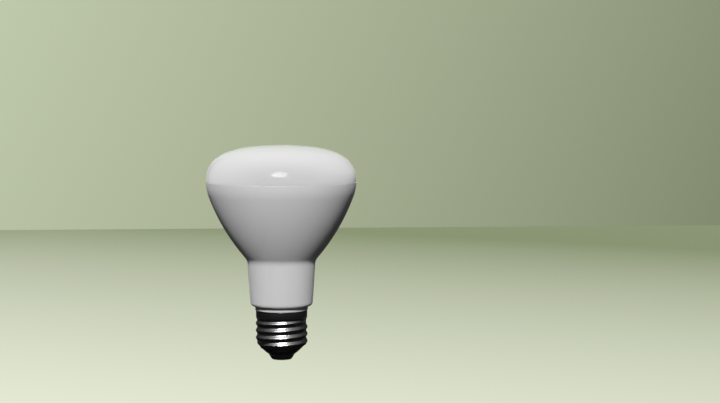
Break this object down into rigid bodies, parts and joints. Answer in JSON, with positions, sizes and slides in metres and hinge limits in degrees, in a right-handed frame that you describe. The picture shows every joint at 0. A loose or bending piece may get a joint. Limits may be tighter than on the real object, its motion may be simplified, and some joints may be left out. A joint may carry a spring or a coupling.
{
  "type": "reflector bulb",
  "caption": "Reflector bulb with a shallow opal lens, a white cone and neck, and a dark screw cap with a coarse thread; screws into a lamp holder.",
  "frame": {"origin": "centre of the flat face of the centre contact", "axes": "+Z along the bulb's axis from the contact to the crown of the lens; the thread's full height starts to the front left, seen along +Y"},
  "size_m": [0.0762, 0.0762, 0.1092],
  "materials": {
    "opal_lens": "gloss opal moulding",
    "white_housing": "gloss white moulding",
    "dark_shell": "polished dark plating on rolled sheet",
    "black_insulator": "gloss black moulding",
    "dark_contact": "polished dark plating"
  },
  "bodies": {
    "root": {"lens": "opal_lens", "housing": "white_housing", "screw_shell": "dark_shell", "insulator": "black_insulator", "centre_contact": "dark_contact"}
  },
  "joints": []
}
